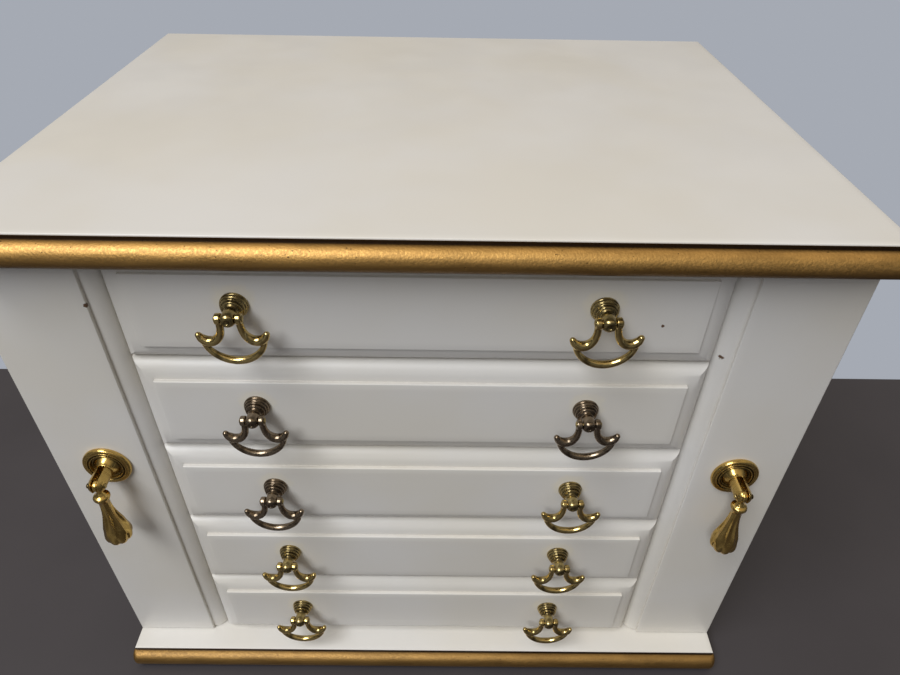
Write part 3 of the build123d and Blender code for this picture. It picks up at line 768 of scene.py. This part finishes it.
def cloth_pad(low, high, round_edge):
    """A thin sheet of cloth with rounded edges, lying flat against what is behind it."""
    mesh = Shape()
    corners = [(x, y, z) for z in (low.z, high.z) for y in (low.y, high.y) for x in (low.x, high.x)]
    mesh.row(corners)
    mesh.faces = [(0, 1, 3, 2), (4, 6, 7, 5), (0, 4, 5, 1), (2, 3, 7, 6), (0, 2, 6, 4), (1, 5, 7, 3)]
    return finished("pad", mesh.mesh("pad"), (
        ("BEVEL", {"width": round_edge * MM, "segments": 3}),
    ))


# ---- put it together ------------------------------------------------------------------------------------
PAINT = cream_paint()
BOARDS = board_paint()
FRONTS = front_paint()
DROPS = brass("golden_brass", GOLDEN, 0.14, 0.28, 0.3)
PULLS = brass("cast_brass", BRASS, 0.10, 0.26, 0.6)
POSTS = brass("olive_brass", OLIVE, 0.16, 0.3, 0.6)
WORN = brass("worn_brass", BRONZE, 0.16, 0.3, 0.55)
HINGES = brass("hinge_brass", BRASS, 0.25, 0.4, 0.2)
WOOD = bare_wood()
VELVET = pile("burgundy_velvet", (0.16, 0.018, 0.035), (0.07, 0.006, 0.014), 0.9)
FELT = pile("black_felt", (0.035, 0.035, 0.037), (0.018, 0.018, 0.018), 0.4)
STEEL = steel()


def carry_over(node, material, bevel=0.0):
    """A CAD node whose shape is right, with a finish and softened edges."""
    shown = frame["nodes"][node]
    shown.data.materials.clear()
    shown.data.materials.append(material)
    if bevel:
        weld = shown.modifiers.new("Weld", "WELD")
        weld.merge_threshold = 0.005 * MM
        soft = shown.modifiers.new("Soften", "BEVEL")
        soft.width = bevel * MM
        soft.segments = 2
        soft.limit_method = "ANGLE"
        soft.angle_limit = math.radians(40)


def make_carcass():
    for node, worn in (("top_board", 0.0), ("base_board", 0.42)):
        piece(node + "_painted", moulded_board(node, worn), BOARDS, "carcass", [node])
    low, high = box_mm("base_felt")
    felt = piece("base_felt_sheet", cloth_pad(low, high, 0.3), FELT, "carcass", ["base_felt"])
    carry_over("back_board", PAINT, 0.4)
    carry_over("side_partitions", PAINT, 0.4)
    carry_over("drawer_runners", WOOD, 0.3)
    carry_over("hinge_frame_leaves", HINGES)
    carry_over("hinge_pins", HINGES)
    carry_over("catch_discs", STEEL)


def make_doors():
    for side, hand in SIDES:
        door = f"door_{hand}"
        piece(f"{door}_stile_painted", stile(side, f"{door}_stile"), PAINT, door,
              [f"{door}_stile"])
        carry_over(f"{door}_panel", PAINT, 0.5)
        carry_over(f"{door}_hook_bar", HINGES)
        carry_over(f"{door}_hinge_leaves", HINGES)
        carry_over(f"{door}_magnets", STEEL)
        low, high = box_mm(f"{door}_lining")
        cloth = piece(f"{door}_velvet", cloth_pad(low, high, 0.3), VELVET, door,
                      [f"{door}_lining"])


def make_pendants():
    plate, drop = plate_mesh(), drop_mesh()
    pin = pin_mesh(3.95, 0.9, 1.2)
    for side, hand in SIDES:
        place = joint_place(f"pendant_{hand}_swing")
        door = f"door_{hand}"
        piece(f"pendant_{hand}_plate_cast", plate, DROPS, door,
              [f"pendant_{hand}_plate"], place)
        piece(f"pendant_{hand}_pin", pin, PULLS, door, [f"pendant_{hand}_plate"], place)
        piece(f"pendant_{hand}_drop_cast", drop, DROPS, f"pendant_{hand}",
              [f"pendant_{hand}_drop"], place)


def make_drawers():
    pin = pin_mesh(5.05, 0.8, 1.3)
    posts_of, bails_of = [post_mesh(), post_mesh()], [bail_mesh(), bail_mesh()]
    for meshes, metals in ((posts_of, (POSTS, WORN)), (bails_of, (PULLS, WORN))):
        for mesh, metal in zip(meshes, metals):
            mesh.materials.append(metal)
    for number in DRAWERS:
        drawer = f"drawer_{number}"
        piece(f"{drawer}_front_painted", raised_front(f"{drawer}_front"), FRONTS, drawer,
              [f"{drawer}_front"])
        carry_over(f"{drawer}_box", WOOD, 0.4)
        carry_over(f"{drawer}_bottom", WOOD)
        low, high = box_mm(f"{drawer}_lining")
        cloth = piece(f"{drawer}_velvet", shade(tray(low, high, 1.2, 2.0).mesh("tray"), 60), VELVET, drawer,
                      [f"{drawer}_lining"])
        for side, hand in SIDES:
            place = joint_place(f"{drawer}_bail_{hand}_swing")
            posts = [f"{drawer}_pull_posts"]
            worn = (number, side) in WORN_PULLS
            piece(f"{drawer}_post_{hand}", posts_of[worn], None, drawer, posts, place)
            piece(f"{drawer}_pin_{hand}", pin, POSTS, drawer, posts, place)
            hung = piece(f"{drawer}_bail_{hand}_cast", bails_of[worn], None, f"{drawer}_bail_{hand}",
                         [f"{drawer}_bail_{hand}"], place)
            hung.rotation_euler.y = -math.radians(BAIL_TILTS.get((number, side), BAIL_TILT))


def make_stage():
    """A dark table top that ends just behind the chest."""
    reach = 2500
    shape = Shape()
    shape.row([(-reach, -reach, 0), (reach, -reach, 0), (reach, TABLE_EDGE, 0), (-reach, TABLE_EDGE, 0)])
    shape.faces = [(0, 1, 2, 3)]
    table = bpy.data.objects.new("table", shape.mesh("table"))
    bpy.context.scene.collection.objects.link(table)
    table.data.materials.append(table_material())


def soft_light(name, place, turn, size, power, colour):
    data = bpy.data.lights.new(name, "AREA")
    data.shape = "RECTANGLE"
    data.size, data.size_y = size
    data.energy = power
    data.color = colour
    light = bpy.data.objects.new(name, data)
    bpy.context.scene.collection.objects.link(light)
    light.location = place
    light.rotation_euler = turn


def make_light():
    scene = bpy.context.scene
    scene.view_settings.view_transform = "Standard"
    world = bpy.data.worlds.new("world")
    scene.world = world
    world.use_nodes = True
    tree = world.node_tree
    background = tree.nodes["Background"]
    tint = tree.nodes.new("ShaderNodeMix")
    tint.data_type = "RGBA"
    tint.inputs[6].default_value = (0.92, 0.98, 1.1, 1)
    tint.inputs[7].default_value = (1.15, 0.97, 0.72, 1)
    way = tree.nodes.new("ShaderNodeTexCoord")
    parts = tree.nodes.new("ShaderNodeSeparateXYZ")
    height = tree.nodes.new("ShaderNodeMapRange")
    height.interpolation_type = "SMOOTHSTEP"
    height.inputs["To Min"].default_value = SKY_LOW
    height.inputs["To Max"].default_value = SKY_HIGH
    tree.links.new(way.outputs["Generated"], parts.inputs[0])
    tree.links.new(parts.outputs["Z"], height.inputs["Value"])
    tree.links.new(parts.outputs["Z"], tint.inputs["Factor"])
    tree.links.new(tint.outputs[2], background.inputs["Color"])
    wall = tree.nodes.new("ShaderNodeMapRange")
    for key, value in (("From Min", -0.01), ("From Max", 0.0), ("To Min", WALL_GLOW), ("To Max", 0.0)):
        wall.inputs[key].default_value = value
    tree.links.new(parts.outputs["Z"], wall.inputs["Value"])
    total = tree.nodes.new("ShaderNodeMath")
    tree.links.new(height.outputs["Result"], total.inputs[0])
    tree.links.new(wall.outputs["Result"], total.inputs[1])
    tree.links.new(total.outputs[0], background.inputs["Strength"])
    soft_light("window", KEY_PLACE, KEY_TURN, KEY_SIZE, KEY_POWER, (0.95, 0.98, 1.03))


def make_camera():
    data = bpy.data.cameras.new("camera")
    data.lens = CAMERA_LENS
    data.sensor_width = 36
    data.sensor_fit = "HORIZONTAL"
    data.clip_start = 0.01
    camera = bpy.data.objects.new("camera", data)
    bpy.context.scene.collection.objects.link(camera)
    turn = Matrix.Rotation(-CAMERA_YAW, 4, "Z") @ Matrix.Rotation(math.pi / 2 - CAMERA_PITCH, 4, "X")
    camera.matrix_world = Matrix.Translation(CAMERA_PLACE) @ turn @ Matrix.Rotation(-CAMERA_ROLL, 4, "Z")
    bpy.context.scene.camera = camera


make_stage()
make_camera()
make_light()
make_carcass()
make_doors()
make_pendants()
make_drawers()
